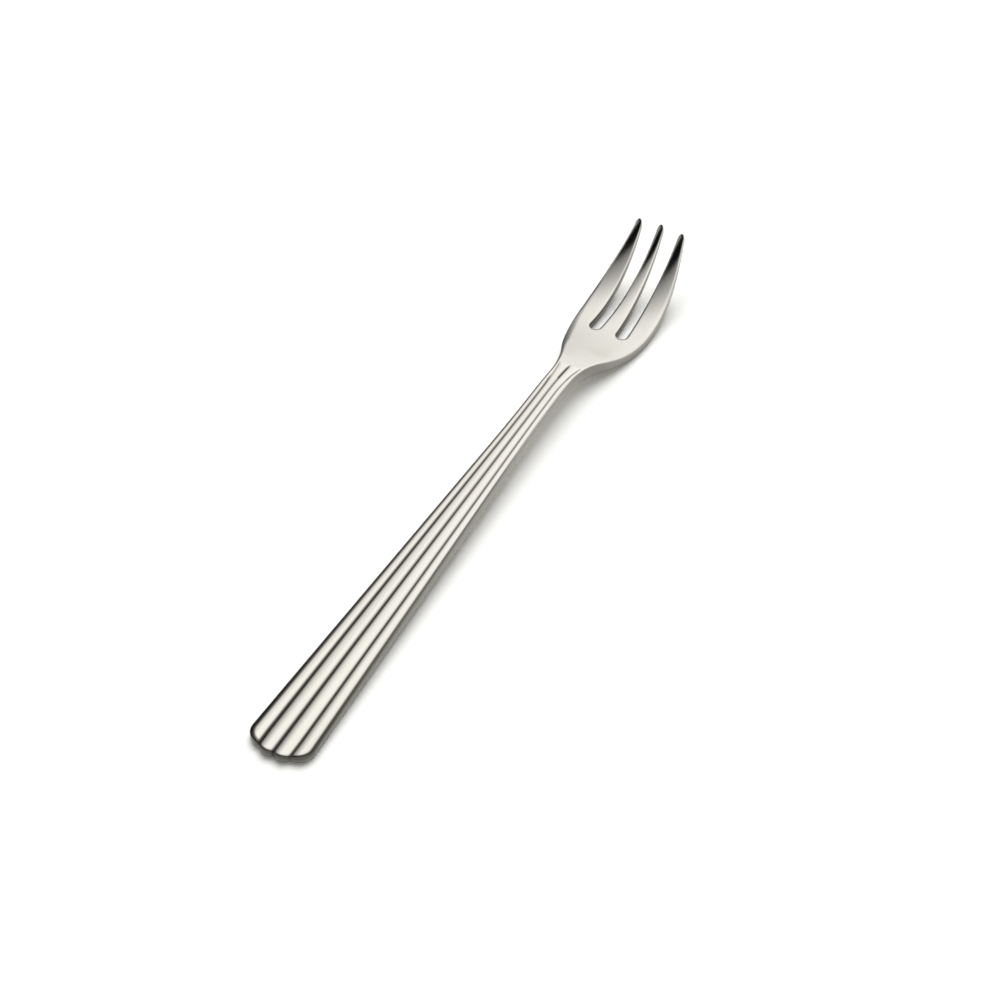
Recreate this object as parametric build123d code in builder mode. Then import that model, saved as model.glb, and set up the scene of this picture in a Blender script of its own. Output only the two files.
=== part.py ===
from build123d import *
from math import asin, atan2, cos, degrees, hypot, radians, sin, sqrt, tan
import os

# Oyster fork: a ribbed handle, and a head with three tines whose tang is brazed into the handle.
# The butt is at -Y, the tines point to +Y and sweep up to +Z, and the fork lies on z = 0.

# Handle
handle_length = 112.0  # butt end to the seam at the head
butt_width = 13.6
butt_thickness = 2.2  # over the rib crowns
neck_width = 5.05  # at the narrowest place
neck_thickness = 3.3
neck_setback = 4.2  # narrowest place to the seam
neck_ease = 22.0  # length over which the side taper fades into the neck
belly_radius = 0.7  # rounding of the handle's lower edges
rest_length = 8.0  # flat under the butt, on which the handle lies

# Ribs
butt_groove = 0.5  # place of the outer grooves at the butt, as a share of the half width
neck_groove = 0.57  # the same at the neck
butt_rib_depth = 0.46
body_rib_depth = 0.3  # where the ribs have grown flatter
body_rib_reach = 30.0  # butt end to that place
neck_rib_depth = 0.17
seam_rib_depth = 0.05
butt_crown = 2.2  # how far the middle of the butt stands out past its corners
lobe_crown = 0.75  # swell of the inner ribs' rounded ends
corner_reach = 4.4  # butt end to the place where its rounded corners meet the sides

# Head
head_length = 38.0  # seam to the middle tine's tip
head_width = 15.9  # across the cheeks
cheek_reach = 19.0  # seam to the widest place
cheek_radius = 32.0
seam_thickness = 3.1
bowl_thickness = 2.05
bowl_reach = 16.5  # seam to the lowest place of the bowl
tip_height = 13.1  # top of the middle tine's tip, above the table
neck_radius = 45.0  # bend of the top, lengthwise, where the neck drops to the bowl
neck_drop = 20.0  # steepest slope of that drop, in degrees

# Tines
tine_length = 23.3  # slot bottom to the middle tine's tip
slot_width = 2.4  # at the round slot bottom
middle_tine_width = 3.5  # at its root
middle_tip_width = 1.4
outer_tip_width = 1.5
outer_tip_pitch = 4.8  # middle tip to outer tip, across
outer_tip_setback = 0.2  # how much shorter the outer tines are
inner_bow = 0.35  # bow of an outer tine's inner edge
tip_thickness = 0.6

# Brazed joint inside the neck
tang_length = 18.0
tang_width = 2.2
tang_thickness = 1.4
tang_corner = 0.3
braze_gap = 0.08

# Places along the fork, with the middle of its length at y = 0
overrun = 1.0  # how far a blank runs past its trimmed end
section_count = 12  # sections through which the handle is lofted
overall_length = handle_length + head_length
butt_y = -overall_length / 2
seam_y = butt_y + handle_length
neck_y = seam_y - neck_setback
bowl_y = seam_y + bowl_reach
cheek_y = seam_y + cheek_reach
tip_y = seam_y + head_length
slot_y = tip_y - tine_length

# Profile of the top: a straight rise, a convex neck arc and a concave arc along the bowl and the tines,
# each tangent to the next
tine_run = tip_y - bowl_y
tine_rise = tip_height - bowl_thickness
tip_slope = 2 * atan2(tine_rise, tine_run)
bowl_radius = tine_run / sin(tip_slope)
drop = radians(neck_drop)
drop_y = bowl_y - bowl_radius * sin(drop)
drop_z = bowl_thickness + bowl_radius * (1 - cos(drop))
neck_centre_y = drop_y - neck_radius * sin(drop)
neck_centre_z = drop_z - neck_radius * cos(drop)
centre_run = neck_centre_y - butt_y
centre_fall = neck_centre_z - butt_thickness
rise = atan2(centre_fall, centre_run) + asin(neck_radius / hypot(centre_run, centre_fall))
neck_arc_y = neck_centre_y - neck_radius * sin(rise)

# Side taper of the handle, and the concave shoulder arc that meets the head's convex cheek
butt_half = butt_width / 2
neck_half = neck_width / 2
head_half = head_width / 2
taper = (butt_half - neck_half) / (neck_y - butt_y - neck_ease / 2)
flare = head_half - neck_half
flare_run = cheek_y - neck_y
shoulder_radius = (flare**2 + flare_run**2) / (2 * flare) - cheek_radius
shoulder_share = shoulder_radius / (shoulder_radius + cheek_radius)


def top_height(y):
    if y < neck_arc_y:
        return butt_thickness + (y - butt_y) * tan(rise)
    if y < drop_y:
        return neck_centre_z + sqrt(neck_radius**2 - (y - neck_centre_y) ** 2)
    return bowl_thickness + bowl_radius - sqrt(bowl_radius**2 - (y - bowl_y) ** 2)


def half_width(y):
    if y < neck_y - neck_ease:
        return butt_half - taper * (y - butt_y)
    if y < neck_y:
        return neck_half + taper * (neck_y - y) ** 2 / (2 * neck_ease)
    return neck_half + shoulder_radius - sqrt(shoulder_radius**2 - (y - neck_y) ** 2)


def between(y, start_y, start, end_y, end):
    return start + (end - start) * (y - start_y) / (end_y - start_y)


def handle_thickness(y):
    rest_y = butt_y + rest_length
    if y < neck_y:
        return between(y, rest_y, top_height(rest_y), neck_y, neck_thickness)
    return between(y, neck_y, neck_thickness, seam_y, seam_thickness)


def rib_depth(y):
    body_y = butt_y + body_rib_reach
    if y < body_y:
        return between(y, butt_y, butt_rib_depth, body_y, body_rib_depth)
    if y < neck_y:
        return between(y, body_y, body_rib_depth, neck_y, neck_rib_depth)
    return between(y, neck_y, neck_rib_depth, seam_y, seam_rib_depth)


def rib_edges(y):
    outer = between(y, butt_y, butt_groove, neck_y, neck_groove)
    return (-1.0, -outer, 0.0, outer, 1.0)


def butt_fall(x):
    end_radius = (butt_half**2 + butt_crown**2) / (2 * butt_crown)
    return end_radius - sqrt(end_radius**2 - x**2)


seam_top = top_height(seam_y)
seam_bottom = seam_top - seam_thickness
tang_z = (seam_top + seam_bottom) / 2
tang_plane = Plane.XZ.offset(-seam_y)
socket_length = tang_length + braze_gap
socket_width = tang_width + 2 * braze_gap
socket_thickness = tang_thickness + 2 * braze_gap
socket_corner = tang_corner + braze_gap
head_room = tip_height + 2 * overrun

os.makedirs("parts", exist_ok=True)

# Handle: sections with rounded ribs, lofted from the butt to the seam
section_step = (seam_y - butt_y + overrun) / (section_count - 1)
with BuildPart() as handle:
    for section in range(section_count):
        station = seam_y - section * section_step
        half = half_width(station)
        edges = rib_edges(station)
        crown = top_height(station)
        groove = crown - rib_depth(station)
        belly = crown - handle_thickness(station)
        with BuildSketch(Plane.XZ.offset(-station)):
            with BuildLine():
                for left, right in zip(edges, edges[1:]):
                    rib_middle = half * (left + right) / 2
                    ThreePointArc((half * left, groove), (rib_middle, crown), (half * right, groove))
                Line((half, groove), (half, belly + belly_radius))
                RadiusArc((half, belly + belly_radius), (half - belly_radius, belly), belly_radius)
                Line((half - belly_radius, belly), (belly_radius - half, belly))
                RadiusArc((belly_radius - half, belly), (-half, belly + belly_radius), belly_radius)
                Line((-half, belly + belly_radius), (-half, groove))
            make_face()
    loft()
    # Scalloped butt, with one lobe for each rib, and the flat on which the handle lies
    corner_y = butt_y + corner_reach
    corner_half = half_width(corner_y)
    grooves = [share * butt_half for share in rib_edges(butt_y)[1:-1]]
    lobe_fall = butt_fall(grooves[0]) / 2
    notches = [(x, butt_y + lobe_crown + butt_fall(x) - lobe_fall) for x in grooves]
    with BuildSketch():
        with BuildLine():
            TangentArc((-corner_half, corner_y), notches[0], tangent=(0, -1))
            for start, end in zip(notches, notches[1:]):
                SagittaArc(start, end, -lobe_crown)
            TangentArc((corner_half, corner_y), notches[-1], tangent=(0, -1))
            Polyline((corner_half, corner_y), (butt_width, corner_y), (butt_width, seam_y + overrun),
                     (-butt_width, seam_y + overrun), (-butt_width, corner_y), (-corner_half, corner_y))
        make_face()
    extrude(amount=head_room, mode=Mode.INTERSECT)
    with BuildSketch(tang_plane):
        with Locations((0, tang_z)):
            RectangleRounded(socket_width, socket_thickness, socket_corner)
    extrude(amount=socket_length, mode=Mode.SUBTRACT)
handle.part.label = "handle"
export_step(handle.part, "parts/handle.step")

# Head: a bent, tapering slab trimmed to its plan outline, with the tang behind it
seam_slope = -asin((seam_y - neck_centre_y) / neck_radius)
tip_run = Vector(cos(tip_slope), sin(tip_slope))
tip_drop = Vector(sin(tip_slope), -cos(tip_slope)) * tip_thickness
with BuildPart() as fork_head:
    with BuildSketch(Plane.YZ):
        with BuildLine():
            seam_run = (cos(seam_slope), sin(seam_slope))
            neck_top = JernArc((seam_y, seam_top), seam_run, neck_radius, -degrees(drop + seam_slope))
            bowl_top = JernArc(neck_top @ 1, neck_top % 1, bowl_radius, degrees(drop + tip_slope))
            tip_top = bowl_top @ 1
            tip_end = tip_top + tip_run * overrun
            Polyline(tip_top, tip_end, tip_end + tip_drop, tip_top + tip_drop)
            TangentArc((bowl_y, 0), tip_top + tip_drop, tangent=(1, 0))
            Spline((seam_y, seam_bottom), (bowl_y, 0), tangents=[seam_run, (1, 0)])
            Line((seam_y, seam_bottom), (seam_y, seam_top))
        make_face()
    extrude(amount=head_width, both=True)
    with BuildSketch(Plane.XY.offset(-overrun)):
        with BuildLine():
            seam_half = half_width(seam_y)
            shoulder_turn = asin((seam_y - neck_y) / shoulder_radius)
            cheek_start = (neck_half + shoulder_share * flare, neck_y + shoulder_share * flare_run)
            seam_heading = (sin(shoulder_turn), cos(shoulder_turn))
            shoulder = TangentArc((seam_half, seam_y), cheek_start, tangent=seam_heading)
            TangentArc(cheek_start, (head_half, cheek_y), tangent=shoulder % 1)
            outer_y = tip_y - outer_tip_setback
            outer_side = (outer_tip_pitch + outer_tip_width / 2, outer_y - outer_tip_width / 2)
            inner_side = (outer_tip_pitch - outer_tip_width / 2, outer_y - outer_tip_width / 2)
            TangentArc((head_half, cheek_y), outer_side, tangent=(0, 1))
            ThreePointArc(outer_side, (outer_tip_pitch, outer_y), inner_side)
            slot_inner = (middle_tine_width / 2, slot_y + slot_width / 2)
            slot_outer = (middle_tine_width / 2 + slot_width, slot_y + slot_width / 2)
            SagittaArc(inner_side, slot_outer, -inner_bow)
            ThreePointArc(slot_outer, (middle_tine_width / 2 + slot_width / 2, slot_y), slot_inner)
            middle_side = (middle_tip_width / 2, tip_y - middle_tip_width / 2)
            Line(slot_inner, middle_side)
            RadiusArc(middle_side, (0, tip_y), -middle_tip_width / 2)
            mirror(about=Plane.YZ)
            Line((-seam_half, seam_y), (seam_half, seam_y))
        make_face()
    extrude(amount=head_room + overrun, mode=Mode.INTERSECT)
    with BuildSketch(tang_plane):
        with Locations((0, tang_z)):
            RectangleRounded(tang_width, tang_thickness, tang_corner)
    extrude(amount=tang_length)
fork_head.part.label = "fork_head"
export_step(fork_head.part, "parts/fork_head.step")

# Braze: the film that fills the gap round the tang and at the bottom of its slot
with BuildPart() as neck_braze:
    with BuildSketch(tang_plane):
        with Locations((0, tang_z)):
            RectangleRounded(socket_width, socket_thickness, socket_corner)
    extrude(amount=socket_length)
    with BuildSketch(tang_plane):
        with Locations((0, tang_z)):
            RectangleRounded(tang_width, tang_thickness, tang_corner)
    extrude(amount=tang_length, mode=Mode.SUBTRACT)
neck_braze.part.label = "neck_braze"
export_step(neck_braze.part, "parts/neck_braze.step")
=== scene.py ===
import math

import bmesh
import bpy
import numpy as np
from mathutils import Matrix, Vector


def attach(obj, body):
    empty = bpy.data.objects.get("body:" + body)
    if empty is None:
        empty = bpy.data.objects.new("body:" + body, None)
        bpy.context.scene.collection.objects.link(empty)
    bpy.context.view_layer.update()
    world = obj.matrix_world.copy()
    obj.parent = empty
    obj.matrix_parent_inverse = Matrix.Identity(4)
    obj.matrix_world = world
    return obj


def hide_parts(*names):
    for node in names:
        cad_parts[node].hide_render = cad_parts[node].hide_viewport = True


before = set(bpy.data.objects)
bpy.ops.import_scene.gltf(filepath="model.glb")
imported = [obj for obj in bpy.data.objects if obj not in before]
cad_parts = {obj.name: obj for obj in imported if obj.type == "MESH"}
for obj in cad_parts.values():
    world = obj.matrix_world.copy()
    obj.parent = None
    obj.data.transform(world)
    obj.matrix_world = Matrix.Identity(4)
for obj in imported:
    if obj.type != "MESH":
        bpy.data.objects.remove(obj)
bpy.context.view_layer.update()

MM = 0.001

# Sizes of the handle, as in the solids; sizes and places are in millimetres where nothing else is said
HANDLE_LENGTH = 112.0  # butt end to the seam at the head
BUTT_WIDTH = 13.6
BUTT_THICKNESS = 2.2  # over the rib crowns
NECK_WIDTH = 5.05  # at the narrowest place
NECK_THICKNESS = 3.3
NECK_SETBACK = 4.2  # narrowest place to the seam
NECK_EASE = 22.0  # length over which the side taper fades into the neck
BELLY_RADIUS = 0.7  # rounding of the handle's lower edges
REST_LENGTH = 8.0  # flat under the butt, on which the handle lies
BUTT_GROOVE = 0.5  # place of the outer grooves at the butt, as a share of the half width
NECK_GROOVE = 0.57  # the same at the neck
BUTT_RIB_DEPTH = 0.46
BODY_RIB_DEPTH = 0.3  # where the ribs have grown flatter
BODY_RIB_REACH = 30.0  # butt end to that place
NECK_RIB_DEPTH = 0.17
BUTT_CROWN = 2.2  # how far the middle of the butt stands out past its corners
LOBE_CROWN = 0.75  # swell of the inner ribs' rounded ends
CORNER_REACH = 4.4  # butt end to the place where its rounded corners meet the sides

# Sizes of the head and the tines, as in the solids
HEAD_LENGTH = 38.0  # seam to the middle tine's tip
HEAD_WIDTH = 15.9  # across the cheeks
CHEEK_REACH = 19.0  # seam to the widest place
CHEEK_RADIUS = 32.0
SEAM_THICKNESS = 3.1
BOWL_THICKNESS = 2.05
BOWL_REACH = 16.5  # seam to the lowest place of the bowl
TIP_HEIGHT = 13.1  # top of the middle tine's tip, above the table
NECK_RADIUS = 45.0  # bend of the top, lengthwise, where the neck drops to the bowl
NECK_DROP = math.radians(20.0)  # steepest slope of that drop
TINE_LENGTH = 23.3  # slot bottom to the middle tine's tip
SLOT_WIDTH = 2.4  # at the round slot bottom
MIDDLE_TINE_WIDTH = 3.5  # at its root
MIDDLE_TIP_WIDTH = 1.4
OUTER_TIP_WIDTH = 1.5
OUTER_TIP_PITCH = 4.8  # middle tip to outer tip, across
OUTER_TIP_SETBACK = 0.2  # how much shorter the outer tines are
INNER_BOW = 0.35  # bow of an outer tine's inner edge
TIP_THICKNESS = 0.6

# Rounding and swell of the forms, which the solids leave plain
SIDE_REACH = 1.4  # width of the rounding along the handle's upper edges, at the butt
NECK_SIDE_REACH = 0.4  # the same at the neck
END_REACH = 0.45  # the same at the butt's end
SEAM_REACH = 0.5  # the same at the seam
SHOULDER_REACH = 1.5  # the same at the shoulders
CHEEK_EDGE_REACH = 0.7  # the same at the cheeks
SLOT_REACH = 0.5  # the same along the slots
TIP_REACH = 0.35  # the same at the tips
EDGE_DEPTH = 0.42  # depth of these roundings, as a share of their width
SIDE_DEPTH = 0.2  # the same along the handle
SHOULDER_DEPTH = 0.25  # the same at the shoulders
UNDER_RADIUS = 0.3  # rounding of the head's lower edges
OUTER_FALL = 0.5  # fall of the outer ribs' outer flanks, as a share of the groove depth
HANDLE_CROWN = 0.2  # fall of the handle's top from its middle to its sides, at the butt
HEAD_CROWN = 0.36  # fall of the head's top from its middle to its shoulders, around the solid's face
TINE_CROWN = 0.1  # fall of a tine's top from its middle to its edges
SWELL_RUN = 9.0  # length over which the tines' crowns come up
BUTT_RIB_POWER = 2.1  # shape of the ribs' flanks at the butt
BODY_RIB_POWER = 3.2  # the same along the handle, where the crowns are flatter
NECK_RIB_POWER = 4.2  # the same at the neck
RUN_OUT = 1.6  # length over which the grooves run out at the seam
SPREAD_RUN = 9.0  # length over which the outer ribs narrow into the shoulders
SEAM_SPREAD = 0.78  # place of the outer grooves at the seam, as a share of the half width

# Painted shade and painted dark reflections on the edges and walls, from 0 where the steel is left bright
# to 1 where it is dark
EDGE_STRENGTH = (1.0, 0.8, 0.8, 1.0, 0.95, 0.8)  # strength of it all, at EDGE_PLACES
LEFT_FULL = 0.3  # share of a left edge's rounding over which the painted shade comes up
LEFT_TURN = 0.9  # share at which it starts to change into the wall's
RIGHT_START = 0.4  # share of a right edge's rounding at which the painted shade starts
RIGHT_RUN = 0.25  # share over which it comes up
RIGHT_TURN = 0.8  # share at which it starts to change into the wall's
RIGHT_RIM = 0.03  # painted shade on the head's right edges, which are left nearly bright
RIM_RUN = 30.0  # length before the neck over which the handle's right edge turns that bright
LEAN_GAIN = 3.0  # how soon a tine's face counts as part of its right edge
WALL_SHADE = 0.93  # painted shade and painted dark reflection on the walls below the edges
SLOT_SHADE = 1.05  # the same in the slots
SIDE_SHADE = 0.69  # the same along the head's sides
FOOT_SHADE = 0.78  # share of a wall's painted shade that is left at its foot
HEAD_FOOT = 1.0  # the same along the head's sides
BUTT_RIM = 0.4  # share of the wall's height that has the full painted shade at the butt's end
CHEEK_EDGE = 0.35  # share of the painted shade that is left on the head's left edge beyond the shoulder
SLOT_EDGE = 0.65  # the same on the slots' right edges

# Painted shade in the grooves and on the outer tines
GROOVE_SHARES = (-0.5, 0.0, 0.5)  # left, middle and right groove, as shares of the half width
GROOVE_SHADE_REACH = (0.27, 0.3, 0.23)  # reach of the painted shade to each side of these grooves
NECK_SHADE_REACH = 0.75  # share of that reach at the neck
NECK_GROOVE_SHADE = 0.55  # strength of the painted groove shade near the neck
NECK_GROOVE_SHADE_SETBACK = 6.0  # distance of that place from the neck
SIDE_SHARES = (-0.6, 0.6)
SIDE_GROOVE_SHADE = (1.1, 0.85)  # strength of the painted groove shade at these shares of the half width
DARK_END_RUN = 2.0  # length of the grooves' dark ends at the neck
DARK_END_SHARES = (-0.5, -0.1, 0.1, 0.8)
DARK_END_SHADE = (0.0, 1.0, 1.0, 0.6)  # strength of these ends, at these shares
LEFT_LOSS = 0.8  # share of its painted shade that the left groove loses there
TINE_SHADE = 0.23  # strength of the painted shade on the outer tines
TINE_SHADE_X = 2.6  # how far out from the middle it starts
TINE_SHADE_RUN = 0.6  # width over which it comes up
TINE_SHADE_POWER = 4  # how closely it follows the face into a rounded edge

# Steel and brazing metal
HANDLE_TONE = (0.91, 0.88, 0.812)
HEAD_TONE = (0.862, 0.839, 0.774)
TONE_SPREAD = 0.03  # how much lighter the steel is in places
# Colour of the painted shade on the edges and walls
PAINTED_SHADE_COLOUR = (0.045, 0.042, 0.034)
# Colour of the painted shade in the grooves
GROOVE_SHADE_COLOUR = (0.07, 0.063, 0.051)
GROOVE_SHADE_FULL = 0.8  # groove value at which the painted shade is strongest
GROOVE_SHADE_COVER = 0.95  # share of the steel that the strongest painted groove shade hides
NOISE_CORE = (0.35, 0.65)  # range of a noise that is spread over a mix
NOISE_SPAN = (0.3, 0.7)  # the same for roughness
SMUDGE_SCALE = 70.0
HAIRLINE_SCALE = (7000.0, 140.0, 7000.0)  # fine lines along the fork
SCRATCH_SCALE = (5200.0, 60.0, 5200.0)  # longer lines that cross them
SCRATCH_TURN = 0.35  # angle between the two, in radians
SCRATCH_WEIGHT = 0.6  # share of these lines in the bump
LINE_STRENGTH = 0.05  # bump strength of both
POLISH = (0.07, 0.12)  # roughness of the steel, over its smudges
LINE_ROUGHNESS = 0.04  # roughness that the fine lines add
PAINTED_SHADE_ROUGHNESS = 0.2  # the same where the edges and walls have painted shade
GROOVE_SHADE_ROUGHNESS = 0.2  # the same where the grooves have painted shade
SATIN_ROUGHNESS = 0.2  # the same where the neck drops to the bowl
BRAZE_TONES = ((0.66, 0.47, 0.22), (0.82, 0.63, 0.33))
BRAZE_SCALE = 900.0
BRAZE_ROUGHNESS = (0.3, 0.5)
BRAZE_STRENGTH = 0.2  # bump strength
BUMP_DEPTH = 0.00002  # in metres

# Camera, found by matching the fork's edges in the photograph
CAMERA_AZIMUTH = 29.46  # in degrees, to the right of the line behind the butt
CAMERA_ELEVATION = 45.43  # in degrees
CAMERA_DISTANCE = 0.8  # in metres
CAMERA_LENS = 150.2
CAMERA_SENSOR = 36.0
CAMERA_NEAR = 0.01  # nearest place that is drawn, in metres
CAMERA_TARGET = (0.003577, 0.002705, 0.0)  # middle of the picture, in metres

# Light
FLOOR_COLOUR = (0.92, 0.92, 0.9)
FLOOR_REACH = 4.0  # half width of the floor, in metres
FLOOR_LEVEL = -0.00002  # just under the fork, in metres
GLOW_COLOUR = (1.0, 1.0, 0.97)
FLOOR_GLOW = 0.06  # light that the floor adds for the rays that show the background
FILL_LEVEL = 0.3  # even light of the room for diffuse rays
BRIGHT_SIDE = (0.725, 0.539, 0.43)  # direction of the room's bright side
DARK_FACING = -0.18  # how far the room's dark side reaches, as a cosine
DIM_FACING = -0.08  # where the room has come up to DIM_LEVEL
DIM_LEVEL = 0.27
BRIGHT_FACING = 0.42  # where the room is fully bright
HAZE_LEVEL = 0.65  # brightness of the haze in the butt's side of the room
HAZE_LEAN = -0.55  # slope of the haze's upper edge, which is lower towards the butt
HAZE_HEIGHT = (0.75, 0.95)  # heights between which the haze fades out upwards
HAZE_DEPTH = (0.05, 0.35)  # places between which it fades out towards the tines
BOX_DIRECTION = (-0.22, 0.42, 1.0)
BOX_DISTANCE = 3.0  # in metres
BOX_SIZE = 2.6  # in metres
BOX_LEVEL = 1.02  # its light on the table

# Rows and columns of the meshes, and the gaps that are closed in them
RIB_COUNT = 4
RIB_STEPS = 20  # across each rib
NEAR_ROWS = 12  # on the rounding of the butt's end
START_ROWS = 18
START_RUN = 6.0  # length of the handle with these rows
MIDDLE_ROWS = 120
FINISH_ROWS = 41
FINISH_RUN = 12.0  # length before the seam with these rows
ROOT_STEPS = 60  # from the seam to the slots
TINE_STEPS = 100  # from the slots to the tips
ACROSS_STEPS = 24  # across each patch of the head
WALL_ROWS = 6  # down each wall
WELD_GAP = 0.0005  # points closer than this become one
SLIVER_GAP = 0.0004  # edges shorter than this are dissolved
TOLERANCE = 0.001  # how close counts as the same place

# Places along the fork
BUTT_Y = -(HANDLE_LENGTH + HEAD_LENGTH) / 2
SEAM_Y = BUTT_Y + HANDLE_LENGTH
NECK_Y = SEAM_Y - NECK_SETBACK
BODY_Y = BUTT_Y + BODY_RIB_REACH
BOWL_Y = SEAM_Y + BOWL_REACH
CHEEK_Y = SEAM_Y + CHEEK_REACH
TIP_Y = SEAM_Y + HEAD_LENGTH
SLOT_Y = TIP_Y - TINE_LENGTH + SLOT_WIDTH / 2
OUTER_Y = TIP_Y - OUTER_TIP_SETBACK - OUTER_TIP_WIDTH / 2
MIDDLE_Y = TIP_Y - MIDDLE_TIP_WIDTH / 2

# Profile of the top
TIP_SLOPE = 2 * math.atan2(TIP_HEIGHT - BOWL_THICKNESS, TIP_Y - BOWL_Y)
BOWL_RADIUS = (TIP_Y - BOWL_Y) / math.sin(TIP_SLOPE)
DROP_Y = BOWL_Y - BOWL_RADIUS * math.sin(NECK_DROP)
DROP_Z = BOWL_THICKNESS + BOWL_RADIUS * (1 - math.cos(NECK_DROP))
NECK_CENTRE_Y = DROP_Y - NECK_RADIUS * math.sin(NECK_DROP)
NECK_CENTRE_Z = DROP_Z - NECK_RADIUS * math.cos(NECK_DROP)
CENTRE_RUN = NECK_CENTRE_Y - BUTT_Y
CENTRE_FALL = NECK_CENTRE_Z - BUTT_THICKNESS
RISE = math.atan2(CENTRE_FALL, CENTRE_RUN) + math.asin(NECK_RADIUS / math.hypot(CENTRE_RUN, CENTRE_FALL))
NECK_ARC_Y = NECK_CENTRE_Y - NECK_RADIUS * math.sin(RISE)
SEAM_SLOPE = -(SEAM_Y - NECK_CENTRE_Y) / math.sqrt(NECK_RADIUS**2 - (SEAM_Y - NECK_CENTRE_Y) ** 2)
UNDER_RUN = TIP_Y + TIP_THICKNESS * math.sin(TIP_SLOPE) - BOWL_Y
UNDER_RISE = TIP_HEIGHT - TIP_THICKNESS * math.cos(TIP_SLOPE)
TINE_UNDER_RADIUS = (UNDER_RUN**2 + UNDER_RISE**2) / (2 * UNDER_RISE)

# Plan outline
BUTT_HALF = BUTT_WIDTH / 2
NECK_HALF = NECK_WIDTH / 2
HEAD_HALF = HEAD_WIDTH / 2
CORNER_Y = BUTT_Y + CORNER_REACH
TAPER = (BUTT_HALF - NECK_HALF) / (NECK_Y - BUTT_Y - NECK_EASE / 2)
FLARE = HEAD_HALF - NECK_HALF
FLARE_RUN = CHEEK_Y - NECK_Y
SHOULDER_RADIUS = (FLARE**2 + FLARE_RUN**2) / (2 * FLARE) - CHEEK_RADIUS
CHEEK_START_Y = NECK_Y + FLARE_RUN * SHOULDER_RADIUS / (SHOULDER_RADIUS + CHEEK_RADIUS)
TINE_INSET = HEAD_HALF - OUTER_TIP_PITCH - OUTER_TIP_WIDTH / 2
TINE_SIDE_RADIUS = (TINE_INSET**2 + (OUTER_Y - CHEEK_Y) ** 2) / (2 * TINE_INSET)
SLOT_INNER = MIDDLE_TINE_WIDTH / 2
SLOT_OUTER = SLOT_INNER + SLOT_WIDTH
SLOT_X = SLOT_INNER + SLOT_WIDTH / 2

# Places where the finish changes
EDGE_PLACES = (BUTT_Y, NECK_Y - 20, NECK_Y, SEAM_Y + 6, CHEEK_Y, TIP_Y)  # for the painted shade on the edges
RIB_PLACES = (BUTT_Y, BODY_Y, NECK_Y)  # for the ribs' depth and shape
HANDLE_EDGE_PLACES = (BUTT_Y, CORNER_Y, NECK_Y, SEAM_Y)  # for the rounding along the handle
CROWN_PLACES = (SEAM_Y + 1, SEAM_Y + 7, BOWL_Y - 6, BOWL_Y + 2)  # start and end of the head's crown
HEAD_EDGE_PLACES = (SEAM_Y, SEAM_Y + 4, SEAM_Y + 9, BOWL_Y - 3, CHEEK_Y + 3, TIP_Y)  # for its rounding
DEPTH_PLACES = (SEAM_Y, SEAM_Y + 9, BOWL_Y - 3, CHEEK_Y + 3)  # for the depth of that
SIDE_PLACES = (SEAM_Y, SEAM_Y + 6, CHEEK_Y + 4, TIP_Y)  # for the head's side walls
SLOT_PLACES = (CHEEK_Y + 4, TIP_Y)  # for the slots' walls
FOOT_PLACES = (SEAM_Y, SEAM_Y + 5)  # for the feet of the head's side walls
CHEEK_PLACES = (BOWL_Y - 8, BOWL_Y)  # for the head's left edge
TINE_SHADE_PLACES = (CHEEK_Y + 2, CHEEK_Y + 11, TIP_Y - 6, TIP_Y - 3)  # start and end of the painted shade on the outer tines
SATIN_PLACES = (SEAM_Y, SEAM_Y + 4, BOWL_Y - 4, BOWL_Y + 6)  # start and end of the rougher steel


def smooth_step(value, low, high):
    share = np.clip((value - low) / (high - low), 0, 1)
    return share * share * (3 - 2 * share)


def arc_rise(offset, radius):
    """Rise of a circle above its lowest point, at an offset to the side."""
    return radius - np.sqrt(np.maximum(radius**2 - offset**2, 0))


def edge_drop(distance, radius):
    """Fall of a rounded edge below the face, at a distance inside the outline."""
    return arc_rise(np.clip(radius - distance, 0, radius), radius)


def top_height(y):
    straight = BUTT_THICKNESS + (y - BUTT_Y) * math.tan(RISE)
    neck = NECK_CENTRE_Z + NECK_RADIUS - arc_rise(y - NECK_CENTRE_Y, NECK_RADIUS)
    bowl = BOWL_THICKNESS + arc_rise(y - BOWL_Y, BOWL_RADIUS)
    return np.where(y < NECK_ARC_Y, straight, np.where(y < DROP_Y, neck, bowl))


def half_width(y):
    straight = BUTT_HALF - TAPER * (y - BUTT_Y)
    eased = NECK_HALF + TAPER * (NECK_Y - y) ** 2 / (2 * NECK_EASE)
    shoulder = NECK_HALF + arc_rise(y - NECK_Y, SHOULDER_RADIUS)
    cheek = HEAD_HALF - arc_rise(y - CHEEK_Y, CHEEK_RADIUS)
    tine = HEAD_HALF - arc_rise(np.minimum(y, OUTER_Y) - CHEEK_Y, TINE_SIDE_RADIUS)
    handle = np.where(y < NECK_Y - NECK_EASE, straight, np.where(y < NECK_Y, eased, shoulder))
    return np.where(y < CHEEK_START_Y, handle, np.where(y < CHEEK_Y, cheek, tine))


def handle_thickness(y):
    rest_y = BUTT_Y + REST_LENGTH
    rest = float(top_height(np.array(rest_y)))
    return np.interp(y, (rest_y, NECK_Y, SEAM_Y), (rest, NECK_THICKNESS, SEAM_THICKNESS))


def head_underside(y):
    seam = float(top_height(np.array(SEAM_Y))) - SEAM_THICKNESS
    t = np.clip((y - SEAM_Y) / BOWL_REACH, 0, 1)
    neck = seam * (2 * t**3 - 3 * t**2 + 1) + SEAM_SLOPE * BOWL_REACH * (t**3 - 2 * t**2 + t)
    return np.where(y < BOWL_Y, neck, arc_rise(y - BOWL_Y, TINE_UNDER_RADIUS))


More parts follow.
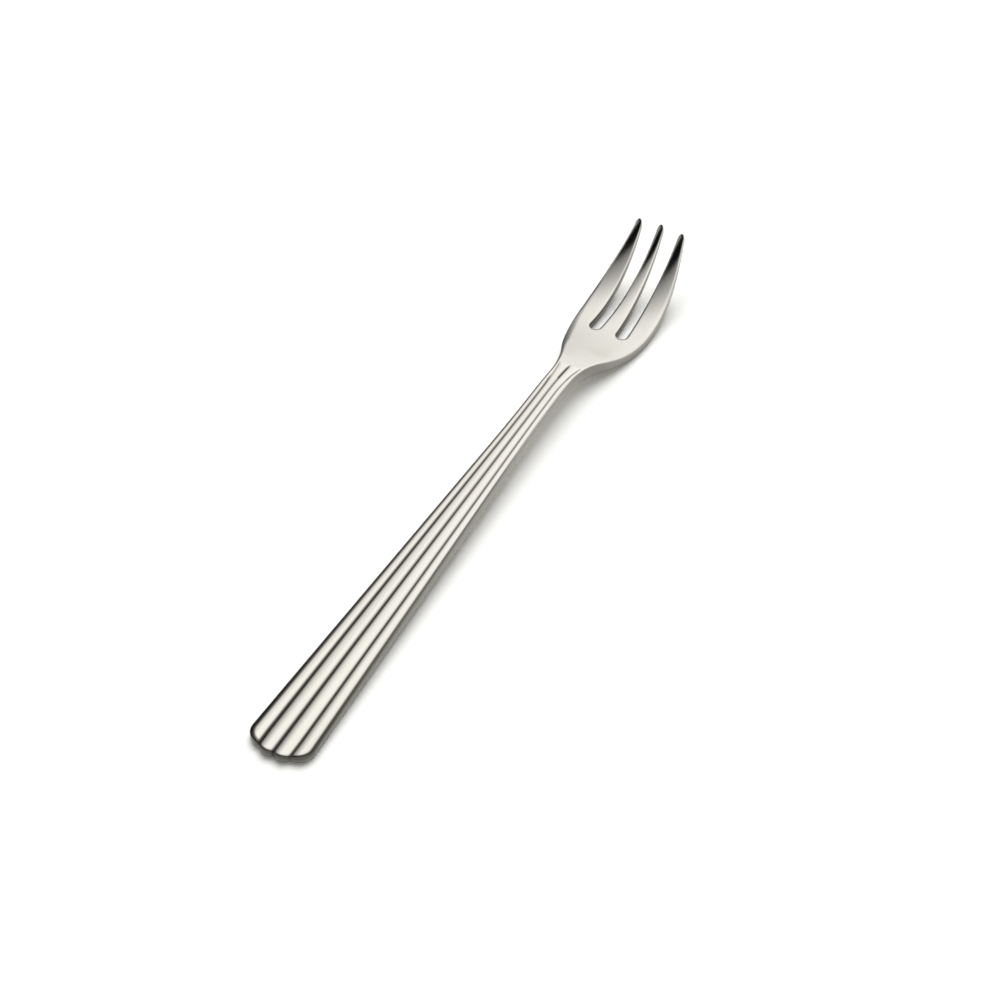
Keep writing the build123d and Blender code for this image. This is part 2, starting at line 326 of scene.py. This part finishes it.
class Shell:
    """Gathers grids of points, in millimetres, and joins them into one closed mesh."""

    def __init__(self):
        self.points = []
        self.faces = []
        self.groove = []
        self.painted_shade = []

    def grid(self, x, y, z, painted_shade, groove=0.0):
        x, y, z, painted_shade, groove = np.broadcast_arrays(x, y, z, painted_shade, groove)
        rows, columns = x.shape
        first = len(self.points)
        self.points.extend(zip(x.ravel() * MM, y.ravel() * MM, z.ravel() * MM))
        self.groove.extend(groove.ravel())
        self.painted_shade.extend(painted_shade.ravel())
        for row in range(rows - 1):
            for column in range(columns - 1):
                corner = first + row * columns + column
                self.faces.append((corner, corner + 1, corner + columns + 1, corner + columns))

    def strip(self, x, y, upper, lower, painted_shade, foot, rim=0.0):
        """A wall from an upper edge to the lower one under it; its painted shade changes below the rim."""
        share = np.linspace(0, 1, WALL_ROWS)[:, None]
        fade = 1 + (foot - 1) * np.clip((share - rim) / (1 - rim), 0, 1)
        self.grid(x[None, :], y[None, :], upper + (lower - upper) * share, painted_shade * fade)

    def piece(self, name, material):
        mesh = bpy.data.meshes.new(name)
        work = bmesh.new()
        # Layers for the painted shade in the grooves and on the edges and walls
        groove = work.verts.layers.float.new("groove")
        painted_shade = work.verts.layers.float.new("painted_shade")
        for point, groove_value, shade_value in zip(self.points, self.groove, self.painted_shade):
            vert = work.verts.new(point)
            vert[groove] = groove_value
            vert[painted_shade] = shade_value
        work.verts.ensure_lookup_table()
        for face in self.faces:
            work.faces.new([work.verts[index] for index in face])
        bmesh.ops.remove_doubles(work, verts=work.verts, dist=WELD_GAP * MM)
        bmesh.ops.dissolve_degenerate(work, edges=work.edges, dist=SLIVER_GAP * MM)
        bmesh.ops.recalc_face_normals(work, faces=work.faces)
        for face in work.faces:
            face.smooth = True
        for edge in work.edges:
            edge.smooth = any(abs(vert.co.y - SEAM_Y * MM) > TOLERANCE * MM for vert in edge.verts)
        work.to_mesh(mesh)
        work.free()
        mesh.materials.append(material)
        made = bpy.data.objects.new(name, mesh)
        bpy.context.scene.collection.objects.link(made)
        return made


def edge_steps(count):
    """Shares from 0 to 1, closer together at both ends."""
    return (1 - np.cos(np.linspace(0, math.pi, count + 1))) / 2


def end_steps(count):
    """Shares from 0 to 1, closer together at the far end."""
    return np.sin(np.linspace(0, math.pi / 2, count + 1))


class Butt:
    """Plan of the scalloped butt: a lobe for each inner rib, and corners rounded into the sides."""

    def __init__(self):
        self.half = float(half_width(np.array(CORNER_Y)))
        groove = BUTT_GROOVE * self.half
        end_radius = (BUTT_HALF**2 + BUTT_CROWN**2) / (2 * BUTT_CROWN)
        fall = arc_rise(groove, end_radius)
        self.groove = groove
        self.notch = BUTT_Y + LOBE_CROWN - fall / 2
        self.slope = fall / groove
        self.lobe_radius = ((groove / 2) ** 2 + LOBE_CROWN**2) / (2 * LOBE_CROWN)
        run = self.half - groove
        drop = CORNER_Y - (self.notch + fall)
        self.radius = (run**2 + drop**2) / (2 * run)
        self.centre = self.half - self.radius

    def end(self, x):
        offset = np.abs(np.abs(x) - self.groove / 2)
        lobe = self.notch + self.slope * np.abs(x) - LOBE_CROWN + arc_rise(offset, self.lobe_radius)
        corner = CORNER_Y - np.sqrt(np.maximum(self.radius**2 - (np.abs(x) - self.centre) ** 2, 0))
        return np.where(np.abs(x) > self.groove, corner, lobe)

    def gap(self, x, y, end_y):
        """Distance inside the outline of the butt."""
        corner = self.radius - np.hypot(np.abs(x) - self.centre, y - CORNER_Y)
        return np.where((np.abs(x) > self.groove) & (y < CORNER_Y), np.maximum(corner, 0), y - end_y)


def edge_strength(y):
    return np.interp(y, EDGE_PLACES, EDGE_STRENGTH)


def top_painted_shade(wall, y, lean, shade):
    """Painted shade of an upper face.

    wall goes from 0 to 1 over a rounded edge, and lean is -1 at a left edge and 1 at a right one.
    """
    rim = np.interp(y, (NECK_Y - RIM_RUN, SEAM_Y), (1, RIGHT_RIM))
    left_turn = 1 + (shade - 1) * (wall - LEFT_TURN) / (1 - LEFT_TURN)
    left = np.where(wall < LEFT_TURN, np.clip(wall / LEFT_FULL, 0, 1), left_turn)
    right_turn = rim + (shade - rim) * (wall - RIGHT_TURN) / (1 - RIGHT_TURN)
    right = np.where(wall < RIGHT_TURN, rim * np.clip((wall - RIGHT_START) / RIGHT_RUN, 0, 1), right_turn)
    return (left + (right - left) * np.clip((lean + 1) / 2, 0, 1)) * edge_strength(y)


def under_painted_shade(gap, radius, y, shade, foot):
    """Painted shade of a lower face, which fades from the wall's over the rounded edge."""
    return np.clip(1 - gap / radius, 0, 1) * shade * foot * edge_strength(y)


def groove_shade_strength(y, share):
    """Strength of the painted shade in the grooves, with dark ends at the neck, at a share of the half
    width.
    """
    along = np.interp(y, (BODY_Y, NECK_Y - NECK_GROOVE_SHADE_SETBACK), (1, NECK_GROOVE_SHADE))
    at_end = smooth_step(y, NECK_Y - DARK_END_RUN, NECK_Y)
    kept = 1 - at_end * np.interp(share, DARK_END_SHARES[:2], (LEFT_LOSS, 0))
    dark_end = at_end * np.interp(share, DARK_END_SHARES, DARK_END_SHADE)
    return np.maximum(along * np.interp(share, SIDE_SHARES, SIDE_GROOVE_SHADE) * kept, dark_end)


def build_handle(material):
    phase = np.tile(np.sin(np.linspace(-math.pi / 2, math.pi / 2, RIB_STEPS + 1)), RIB_COUNT)
    rib = np.repeat(np.arange(RIB_COUNT), RIB_STEPS + 1)
    first = rib == 0
    last = rib == RIB_COUNT - 1

    def across(groove):
        """Half width of each column's rib, and the columns' places, as shares of the half width."""
        outer = 1 - groove
        rib_half = np.where(first | last, outer, groove) / 2
        rib_middle = np.choose(rib, (-1 + outer / 2, -groove / 2, groove / 2, 1 - outer / 2))
        return rib_half, rib_middle + rib_half * phase

    butt = Butt()
    end_y = butt.end(across(BUTT_GROOVE)[1] * butt.half)
    near = END_REACH * (1 - np.cos(np.linspace(0, math.pi / 2, NEAR_ROWS)))
    start = np.geomspace(END_REACH, START_RUN, START_ROWS)[1:]
    middle = np.linspace(START_RUN, HANDLE_LENGTH - FINISH_RUN, MIDDLE_ROWS)[1:]
    finish = np.linspace(HANDLE_LENGTH - FINISH_RUN, HANDLE_LENGTH, FINISH_ROWS)[1:]
    along = np.concatenate((near, start, middle, finish))[:, None]
    y = end_y + along * (SEAM_Y - end_y) / HANDLE_LENGTH
    half = np.minimum(half_width(y), butt.half)
    at_seam = smooth_step(y, SEAM_Y - SPREAD_RUN, SEAM_Y)
    even = np.interp(y, (BUTT_Y, NECK_Y), (BUTT_GROOVE, NECK_GROOVE))
    rib_half, share = across(even + (SEAM_SPREAD - NECK_GROOVE) * at_seam)
    x = share * half

    run_out = np.sqrt(np.clip((SEAM_Y - y) / RUN_OUT, 0, 1))
    depth = np.interp(y, RIB_PLACES, (BUTT_RIB_DEPTH, BODY_RIB_DEPTH, NECK_RIB_DEPTH)) * run_out
    power = np.interp(y, RIB_PLACES, (BUTT_RIB_POWER, BODY_RIB_POWER, NECK_RIB_POWER))
    at_groove = ~((first & (phase < 0)) | (last & (phase > 0)))
    fall = depth * np.abs(phase) ** power * np.where(at_groove, 1.0, OUTER_FALL)
    gap = np.minimum(half - np.abs(x), butt.gap(x, y, end_y))
    rounding = np.interp(y, HANDLE_EDGE_PLACES, (END_REACH, SIDE_REACH, NECK_SIDE_REACH, SEAM_REACH))
    wall = np.clip(1 - gap / rounding, 0, 1)
    edge_depth = np.interp(y, HANDLE_EDGE_PLACES, (EDGE_DEPTH, SIDE_DEPTH, SIDE_DEPTH, EDGE_DEPTH))
    crown = HANDLE_CROWN * half / BUTT_HALF * (1 - at_seam)
    top = top_height(y) - fall - crown * share**2 - edge_depth * rounding * arc_rise(wall, 1.0)
    belly = np.maximum(top_height(y) - handle_thickness(y), 0)
    under = belly + edge_drop(gap, BELLY_RADIUS)

    # Painted shade in the grooves
    groove_gap = (1 - np.abs(phase)) * rib_half * half
    shade_share = np.interp(y, (BODY_Y, NECK_Y), (1, NECK_SHADE_REACH))
    shade_reach = np.interp(share, GROOVE_SHARES, GROOVE_SHADE_REACH) * shade_share
    groove_shade = at_groove * np.exp(-((groove_gap / shade_reach) ** 2)) * groove_shade_strength(y, share) * run_out
    # Painted shade on the edges and walls
    painted_shade = top_painted_shade(wall, y, share, WALL_SHADE)
    shell = Shell()
    shell.grid(x, y, top, painted_shade, groove_shade)
    shell.grid(x, y, under, under_painted_shade(gap, BELLY_RADIUS, y, WALL_SHADE, FOOT_SHADE))
    for edge, rim in ((np.s_[:, 0], 0.0), (np.s_[:, -1], 0.0), (np.s_[0], BUTT_RIM), (np.s_[-1], 0.0)):
        shell.strip(x[edge], y[edge], top[edge], under[edge], painted_shade[edge], FOOT_SHADE, rim)
    return shell.piece("ribbed_handle", material)


def head_faces(shell, x, y, gap, lean, swell=0.0):
    """Upper and lower face of one patch of the head; gap is the distance to the outline."""
    half = half_width(y)
    by_slot = gap < half - np.abs(x) - TOLERANCE

    # Shape
    crown_in, crown_full, crown_fade, crown_out = CROWN_PLACES
    crown = HEAD_CROWN * smooth_step(y, crown_in, crown_full) * (1 - smooth_step(y, crown_fade, crown_out))
    across = np.clip(x / half, -1, 1) ** 2
    slot_reach = np.interp(y, (SLOT_Y, TIP_Y), (SLOT_REACH, TIP_REACH))
    side_reach = np.interp(
        y, HEAD_EDGE_PLACES,
        (SEAM_REACH, CHEEK_EDGE_REACH, SHOULDER_REACH, SHOULDER_REACH, CHEEK_EDGE_REACH, TIP_REACH))
    rounding = np.where(by_slot, slot_reach, side_reach)
    side_depth = np.interp(y, DEPTH_PLACES, (EDGE_DEPTH, SHOULDER_DEPTH, SHOULDER_DEPTH, EDGE_DEPTH))
    depth = np.where(by_slot, EDGE_DEPTH, side_depth)
    wall = np.clip(1 - gap / rounding, 0, 1)
    top = top_height(y) - crown * (across - 0.5) - depth * rounding * arc_rise(wall, 1.0) - swell
    under = head_underside(y) + edge_drop(gap, UNDER_RADIUS)

    # Painted shade
    slot_lean = np.where(lean > 0, np.minimum(LEAN_GAIN * lean, 1), lean)
    lean = np.where(by_slot, slot_lean, np.where(x > 0, 1, lean))
    slot_shade = np.interp(y, SLOT_PLACES, (SLOT_SHADE, WALL_SHADE))
    side_shade = np.interp(y, SIDE_PLACES, (WALL_SHADE, SIDE_SHADE, SIDE_SHADE, WALL_SHADE))
    shade = np.where(by_slot, slot_shade, side_shade)
    foot = np.where(by_slot, FOOT_SHADE, np.interp(y, FOOT_PLACES, (FOOT_SHADE, HEAD_FOOT)))
    side_share = np.where(lean > 0, 1, np.interp(y, CHEEK_PLACES, (1, CHEEK_EDGE)))
    strength = np.where(by_slot, np.interp(lean, (-1, 0), (SLOT_EDGE, 1)), side_share)
    painted_shade = top_painted_shade(wall, y, lean, shade) * strength

    # Painted shade on the outer tines
    shade_in, shade_full, shade_fade, shade_out = TINE_SHADE_PLACES
    along = smooth_step(y, shade_in, shade_full) * (1 - smooth_step(y, shade_fade, shade_out))
    outwards = np.clip((np.abs(x) - TINE_SHADE_X) / TINE_SHADE_RUN, 0, 1)
    painted_shade = painted_shade + (1 - painted_shade) * (1 - wall**TINE_SHADE_POWER) * TINE_SHADE * along * outwards
    shell.grid(x, y, top, painted_shade)
    shell.grid(x, y, under, under_painted_shade(gap, UNDER_RADIUS, y, shade, foot) * strength)
    return top, under, painted_shade, foot


def build_head(material):
    shell = Shell()
    root_share = end_steps(ROOT_STEPS)[:, None]
    tine_share = end_steps(TINE_STEPS)[:, None]
    across = edge_steps(ACROSS_STEPS)
    lean = 2 * across - 1
    root_y = SEAM_Y + (SLOT_Y - SEAM_Y) * root_share

    def wall(edge, x, y, faces):
        shell.strip(x[edge], y[edge], *(values[edge] for values in faces))

    def slot_gap(x, y):
        return np.hypot(np.abs(x) - SLOT_X, y - SLOT_Y) - SLOT_WIDTH / 2

    def round_end(width):
        """Reach of a half circle of this width, across it."""
        return width * np.sqrt(np.maximum(0.25 - (across - 0.5) ** 2, 0))

    def inner_edge(y):
        share = np.clip((y - SLOT_Y) / (OUTER_Y - SLOT_Y), 0, 1)
        straight = SLOT_OUTER + (OUTER_TIP_PITCH - OUTER_TIP_WIDTH / 2 - SLOT_OUTER) * share
        return straight - 4 * INNER_BOW * share * (1 - share)

    def middle_edge(y):
        share = np.clip((y - SLOT_Y) / (MIDDLE_Y - SLOT_Y), 0, 1)
        return SLOT_INNER + (MIDDLE_TIP_WIDTH / 2 - SLOT_INNER) * share

    def tine_swell(y):
        """Fall of a tine's face from its middle to its edges."""
        return TINE_CROWN * smooth_step(y, SLOT_Y, SLOT_Y + SWELL_RUN) * lean**2

    # Edges of the bands that end at the slots, which narrow with the neck
    scale = np.minimum(half_width(root_y) / half_width(np.array(SLOT_Y)), 1)
    inner = SLOT_INNER * scale
    outer = SLOT_OUTER * scale

    for side in (-1, 1):
        # Cheek beside a slot
        x = outer + (half_width(root_y) - outer) * across
        y = np.broadcast_to(root_y, x.shape)
        gap = np.minimum(half_width(y) - x, slot_gap(x, y))
        faces = head_faces(shell, side * x, y, gap, side * lean)
        wall(np.s_[:, -1], side * x, y, faces)
        wall(np.s_[0], side * x, y, faces)

        # Web that ends at the round slot bottom
        y = SEAM_Y + (SLOT_Y - round_end(SLOT_WIDTH) - SEAM_Y) * root_share
        x = inner + (outer - inner) * across
        faces = head_faces(shell, side * x, y, slot_gap(x, y), -side * lean)
        wall(np.s_[-1], side * x, y, faces)
        wall(np.s_[0], side * x, y, faces)

        # Outer tine
        y = SLOT_Y + (OUTER_Y + round_end(OUTER_TIP_WIDTH) - SLOT_Y) * tine_share
        x = inner_edge(y) + (half_width(y) - inner_edge(y)) * across
        along_gap = np.minimum(half_width(y) - x, x - inner_edge(y))
        tip_gap = OUTER_TIP_WIDTH / 2 - np.hypot(x - OUTER_TIP_PITCH, y - OUTER_Y)
        gap = np.where(y < OUTER_Y, along_gap, tip_gap)
        faces = head_faces(shell, side * x, y, gap, side * lean, tine_swell(y))
        for edge in (np.s_[:, 0], np.s_[:, -1], np.s_[-1]):
            wall(edge, side * x, y, faces)

    # Middle of the head
    x = inner * lean
    y = np.broadcast_to(root_y, x.shape)
    faces = head_faces(shell, x, y, slot_gap(x, y), lean)
    wall(np.s_[0], x, y, faces)

    # Middle tine
    y = SLOT_Y + (MIDDLE_Y + round_end(MIDDLE_TIP_WIDTH) - SLOT_Y) * tine_share
    x = middle_edge(y) * lean
    along_gap = middle_edge(y) - np.abs(x)
    tip_gap = MIDDLE_TIP_WIDTH / 2 - np.hypot(x, y - MIDDLE_Y)
    gap = np.where(y < MIDDLE_Y, along_gap, tip_gap)
    faces = head_faces(shell, x, y, gap, lean, tine_swell(y))
    for edge in (np.s_[:, 0], np.s_[:, -1], np.s_[-1]):
        wall(edge, x, y, faces)
    return shell.piece("tined_head", material)


class Nodes:
    """Short calls for building a node tree."""

    def __init__(self, tree):
        self.tree = tree
        tree.nodes.clear()

    def add(self, kind, **settings):
        node = self.tree.nodes.new(kind)
        for key, value in settings.items():
            setattr(node, key, value)
        return node

    def link(self, source, target):
        self.tree.links.new(source, target)

    def noise(self, coordinates, scale, detail, roughness):
        node = self.add("ShaderNodeTexNoise")
        node.inputs["Scale"].default_value = scale
        node.inputs["Detail"].default_value = detail
        node.inputs["Roughness"].default_value = roughness
        self.link(coordinates, node.inputs["Vector"])
        return node.outputs["Fac"]

    def stretch(self, coordinates, scale, turn=0.0):
        node = self.add("ShaderNodeMapping")
        node.inputs["Scale"].default_value = scale
        node.inputs["Rotation"].default_value = (0, 0, turn)
        self.link(coordinates, node.inputs["Vector"])
        return node.outputs["Vector"]

    def attribute(self, name):
        return self.add("ShaderNodeAttribute", attribute_name=name).outputs["Fac"]

    def math(self, operation, first, second):
        node = self.add("ShaderNodeMath", operation=operation)
        for socket, value in zip(node.inputs, (first, second)):
            if isinstance(value, (int, float)):
                socket.default_value = value
            else:
                self.link(value, socket)
        return node.outputs["Value"]

    def fit(self, value, low, high, to_low, to_high):
        node = self.add("ShaderNodeMapRange")
        for name, number in zip(("From Min", "From Max", "To Min", "To Max"), (low, high, to_low, to_high)):
            node.inputs[name].default_value = number
        self.link(value, node.inputs["Value"])
        return node.outputs["Result"]

    def colour_mix(self, factor, first, second):
        """Mix of two colours; the colour sockets of the Mix node are its third set."""
        node = self.add("ShaderNodeMix", data_type="RGBA")
        self.link(factor, node.inputs[0])
        for socket, value in ((node.inputs[6], first), (node.inputs[7], second)):
            if isinstance(value, tuple):
                socket.default_value = (*value, 1)
            else:
                self.link(value, socket)
        return node.outputs[2]


def new_material(name):
    material = bpy.data.materials.new(name)
    material.use_nodes = True
    nodes = Nodes(material.node_tree)
    output = nodes.add("ShaderNodeOutputMaterial")
    return material, nodes, output


def metal_shader(nodes, output):
    """A metal's shader, linked to the output, and the coordinates for its noise."""
    shader = nodes.add("ShaderNodeBsdfPrincipled")
    shader.inputs["Metallic"].default_value = 1.0
    nodes.link(shader.outputs["BSDF"], output.inputs["Surface"])
    return shader, nodes.add("ShaderNodeTexCoord").outputs["Object"]


def add_bump(nodes, shader, height, strength):
    bump = nodes.add("ShaderNodeBump")
    bump.inputs["Strength"].default_value = strength
    bump.inputs["Distance"].default_value = BUMP_DEPTH
    nodes.link(height, bump.inputs["Height"])
    nodes.link(bump.outputs["Normal"], shader.inputs["Normal"])


def polished_steel(name, tone):
    """Bright steel with fine lines, darkened with painted shade from the mesh's attributes on its edges,
    walls and grooves.
    """
    material, nodes, output = new_material(name)
    shader, place = metal_shader(nodes, output)
    smudge = nodes.noise(place, SMUDGE_SCALE, detail=4.0, roughness=0.6)
    fine = nodes.stretch(place, HAIRLINE_SCALE)
    hairline = nodes.noise(fine, scale=1.0, detail=3.0, roughness=0.6)
    crossing = nodes.stretch(place, SCRATCH_SCALE, SCRATCH_TURN)
    scratch = nodes.noise(crossing, scale=1.0, detail=2.0, roughness=0.5)
    groove = nodes.attribute("groove")
    painted_shade = nodes.attribute("painted_shade")

    lighter = tuple(TONE_SPREAD + part for part in tone)
    steel = nodes.colour_mix(nodes.fit(smudge, *NOISE_CORE, 0, 1), tone, lighter)
    # Painted shade on the edges and walls
    edge_shaded = nodes.colour_mix(painted_shade, steel, PAINTED_SHADE_COLOUR)
    # Painted shade in the grooves
    groove_shaded = nodes.colour_mix(nodes.fit(groove, 0, GROOVE_SHADE_FULL, 0, GROOVE_SHADE_COVER), edge_shaded, GROOVE_SHADE_COLOUR)
    nodes.link(groove_shaded, shader.inputs["Base Color"])

    along = nodes.add("ShaderNodeSeparateXYZ")
    nodes.link(place, along.inputs["Vector"])
    satin_in, satin_full, satin_fade, satin_out = (place_y * MM for place_y in SATIN_PLACES)
    satin = nodes.math("MULTIPLY", nodes.fit(along.outputs["Y"], satin_in, satin_full, 0, SATIN_ROUGHNESS),
                       nodes.fit(along.outputs["Y"], satin_fade, satin_out, 1, 0))
    rough = nodes.fit(smudge, *NOISE_SPAN, *POLISH)
    for part in (nodes.fit(hairline, *NOISE_SPAN, 0, LINE_ROUGHNESS),
                 nodes.fit(painted_shade, 0, 1, 0, PAINTED_SHADE_ROUGHNESS),
                 satin,
                 nodes.fit(groove, 0, 1, 0, GROOVE_SHADE_ROUGHNESS)):
        rough = nodes.math("ADD", rough, part)
    nodes.link(rough, shader.inputs["Roughness"])
    lines = nodes.math("ADD", hairline, nodes.math("MULTIPLY", scratch, SCRATCH_WEIGHT))
    add_bump(nodes, shader, lines, LINE_STRENGTH)
    return material


def braze_brass(name):
    material, nodes, output = new_material(name)
    shader, place = metal_shader(nodes, output)
    cloud = nodes.noise(place, BRAZE_SCALE, detail=4.0, roughness=0.6)
    tint = nodes.colour_mix(nodes.fit(cloud, *NOISE_CORE, 0, 1), *BRAZE_TONES)
    nodes.link(tint, shader.inputs["Base Color"])
    nodes.link(nodes.fit(cloud, *NOISE_SPAN, *BRAZE_ROUGHNESS), shader.inputs["Roughness"])
    add_bump(nodes, shader, cloud, BRAZE_STRENGTH)
    return material


def seen_rays(nodes, path):
    """1 for the rays that show the background: camera, glossy and transmission, before a diffuse bounce."""
    seen = nodes.math("MAXIMUM", path.outputs["Is Camera Ray"], path.outputs["Is Glossy Ray"])
    seen = nodes.math("MAXIMUM", seen, path.outputs["Is Transmission Ray"])
    direct = nodes.math("LESS_THAN", path.outputs["Diffuse Depth"], 0.5)
    return nodes.math("MULTIPLY", seen, direct)


def flat_board(name, corners, material):
    """A flat board of the studio set, given by its four corners in metres."""
    mesh = bpy.data.meshes.new(name)
    mesh.from_pydata(corners, [], [(0, 1, 2, 3)])
    layer = mesh.uv_layers.new(name="board")
    for loop, place in zip(layer.data, ((0, 0), (1, 0), (1, 1), (0, 1))):
        loop.uv = place
    mesh.materials.append(material)
    board = bpy.data.objects.new(name, mesh)
    bpy.context.scene.collection.objects.link(board)


def pale_floor():
    material, nodes, output = new_material("floor_white")
    diffuse = nodes.add("ShaderNodeBsdfDiffuse")
    diffuse.inputs["Color"].default_value = (*FLOOR_COLOUR, 1)
    glow = nodes.add("ShaderNodeEmission")
    glow.inputs["Color"].default_value = (*GLOW_COLOUR, 1)
    seen = seen_rays(nodes, nodes.add("ShaderNodeLightPath"))
    nodes.link(nodes.math("MULTIPLY", seen, FLOOR_GLOW), glow.inputs["Strength"])
    both = nodes.add("ShaderNodeAddShader")
    nodes.link(diffuse.outputs["BSDF"], both.inputs[0])
    nodes.link(glow.outputs["Emission"], both.inputs[1])
    nodes.link(both.outputs["Shader"], output.inputs["Surface"])
    sides = ((-1, -1), (1, -1), (1, 1), (-1, 1))
    flat_board("floor", [(x * FLOOR_REACH, y * FLOOR_REACH, FLOOR_LEVEL) for x, y in sides], material)


def studio_world():
    """A room that is bright on one side and hazy on the butt's side.

    Camera rays see plain white, and diffuse rays an even fill.
    """
    world = bpy.data.worlds.new("studio")
    world.use_nodes = True
    bpy.context.scene.world = world
    nodes = Nodes(world.node_tree)
    output = nodes.add("ShaderNodeOutputWorld")
    sky = nodes.add("ShaderNodeBackground")
    sky.inputs["Color"].default_value = (1, 1, 1, 1)
    path = nodes.add("ShaderNodeLightPath")

    direction = nodes.add("ShaderNodeTexCoord").outputs["Generated"]
    facing = nodes.add("ShaderNodeVectorMath", operation="DOT_PRODUCT")
    facing.inputs[1].default_value = BRIGHT_SIDE
    nodes.link(direction, facing.inputs[0])
    dim = nodes.fit(facing.outputs["Value"], DARK_FACING, DIM_FACING, 0, DIM_LEVEL)
    bright = nodes.fit(facing.outputs["Value"], DIM_FACING, BRIGHT_FACING, 0, 1 - DIM_LEVEL)
    graded = nodes.math("ADD", dim, bright)

    split = nodes.add("ShaderNodeSeparateXYZ")
    nodes.link(direction, split.inputs["Vector"])
    height = nodes.math("ADD", split.outputs["Z"], nodes.math("MULTIPLY", split.outputs["Y"], HAZE_LEAN))
    haze = nodes.math("MULTIPLY", nodes.fit(height, *HAZE_HEIGHT, HAZE_LEVEL, 0),
                      nodes.fit(split.outputs["Y"], *HAZE_DEPTH, 1, 0))

    shown = nodes.math("MAXIMUM", nodes.math("MAXIMUM", graded, haze), path.outputs["Is Camera Ray"])
    level = nodes.add("ShaderNodeMix", data_type="FLOAT")
    level.inputs[2].default_value = FILL_LEVEL
    nodes.link(seen_rays(nodes, path), level.inputs[0])
    nodes.link(shown, level.inputs[3])
    nodes.link(level.outputs[0], sky.inputs["Strength"])
    nodes.link(sky.outputs["Background"], output.inputs["Surface"])


def soft_box():
    lamp = bpy.data.lights.new("soft_box", "AREA")
    lamp.shape = "SQUARE"
    lamp.size = BOX_SIZE
    towards = Vector(BOX_DIRECTION).normalized()
    lamp.energy = BOX_LEVEL * (math.pi * BOX_DISTANCE) ** 2 / towards.z
    box = bpy.data.objects.new("soft_box", lamp)
    bpy.context.scene.collection.objects.link(box)
    box.visible_glossy = False
    box.location = towards * BOX_DISTANCE
    box.rotation_mode = "QUATERNION"
    box.rotation_quaternion = (-towards).to_track_quat("-Z", "Y")


def photo_camera():
    data = bpy.data.cameras.new("camera")
    data.lens = CAMERA_LENS
    data.sensor_width = CAMERA_SENSOR
    data.clip_start = CAMERA_NEAR
    camera = bpy.data.objects.new("camera", data)
    bpy.context.scene.collection.objects.link(camera)
    azimuth = math.radians(CAMERA_AZIMUTH)
    elevation = math.radians(CAMERA_ELEVATION)
    flat = math.cos(elevation)
    back = Vector((math.sin(azimuth) * flat, -math.cos(azimuth) * flat, math.sin(elevation)))
    camera.location = Vector(CAMERA_TARGET) + back * CAMERA_DISTANCE
    camera.rotation_mode = "QUATERNION"
    camera.rotation_quaternion = (-back).to_track_quat("-Z", "Y")
    bpy.context.scene.camera = camera


bpy.context.scene.view_settings.view_transform = "Standard"
photo_camera()
studio_world()
soft_box()
pale_floor()

handle = build_handle(polished_steel("handle_polish", HANDLE_TONE))
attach(handle, "root")
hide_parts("handle")

head = build_head(polished_steel("head_polish", HEAD_TONE))
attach(head, "root")
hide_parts("fork_head")

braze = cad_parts["neck_braze"]
braze.data.materials.clear()
braze.data.materials.append(braze_brass("braze_brass"))
